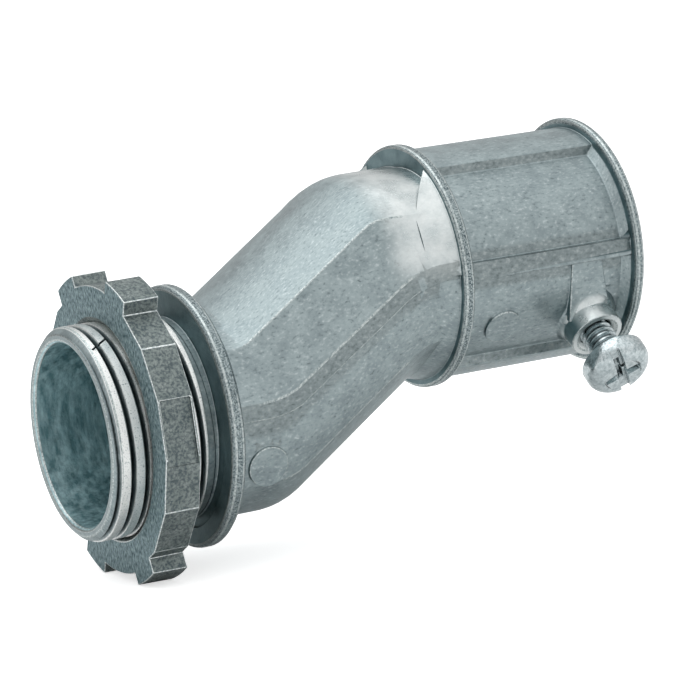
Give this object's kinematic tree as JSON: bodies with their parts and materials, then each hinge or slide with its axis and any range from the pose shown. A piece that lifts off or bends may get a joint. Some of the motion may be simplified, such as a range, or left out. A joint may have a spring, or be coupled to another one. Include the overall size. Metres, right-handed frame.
{
  "type": "offset conduit connector",
  "caption": "Offset set-screw connector that joins thin-wall conduit to a box knockout, with a locknut on its threaded nose.",
  "frame": {"origin": "on the axis of the threaded nose, in the plane of the shoulder face that seats against the box", "axes": "+X along the conduit from the nose towards the socket, +Z the way the socket is offset, -Y the side with the set screw"},
  "size_m": [0.0732, 0.0374, 0.0479],
  "materials": {
    "connector_body": "satin",
    "locknut": "satin",
    "set_screw": "satin"
  },
  "bodies": {
    "fitting": {"connector_body": "connector_body"},
    "nut": {"locknut": "locknut"},
    "screw": {"set_screw": "set_screw"}
  },
  "joints": [
    {"name": "locknut_travel", "type": "slide", "parent": "fitting", "child": "nut", "axis": [-1, 0, 0], "range_m": [-0.0047, 0.01]},
    {"name": "set_screw_travel", "type": "slide", "parent": "fitting", "child": "screw", "axis": [0, 0.7604, 0.6494], "range_m": [-0.0018, 0.004]}
  ]
}
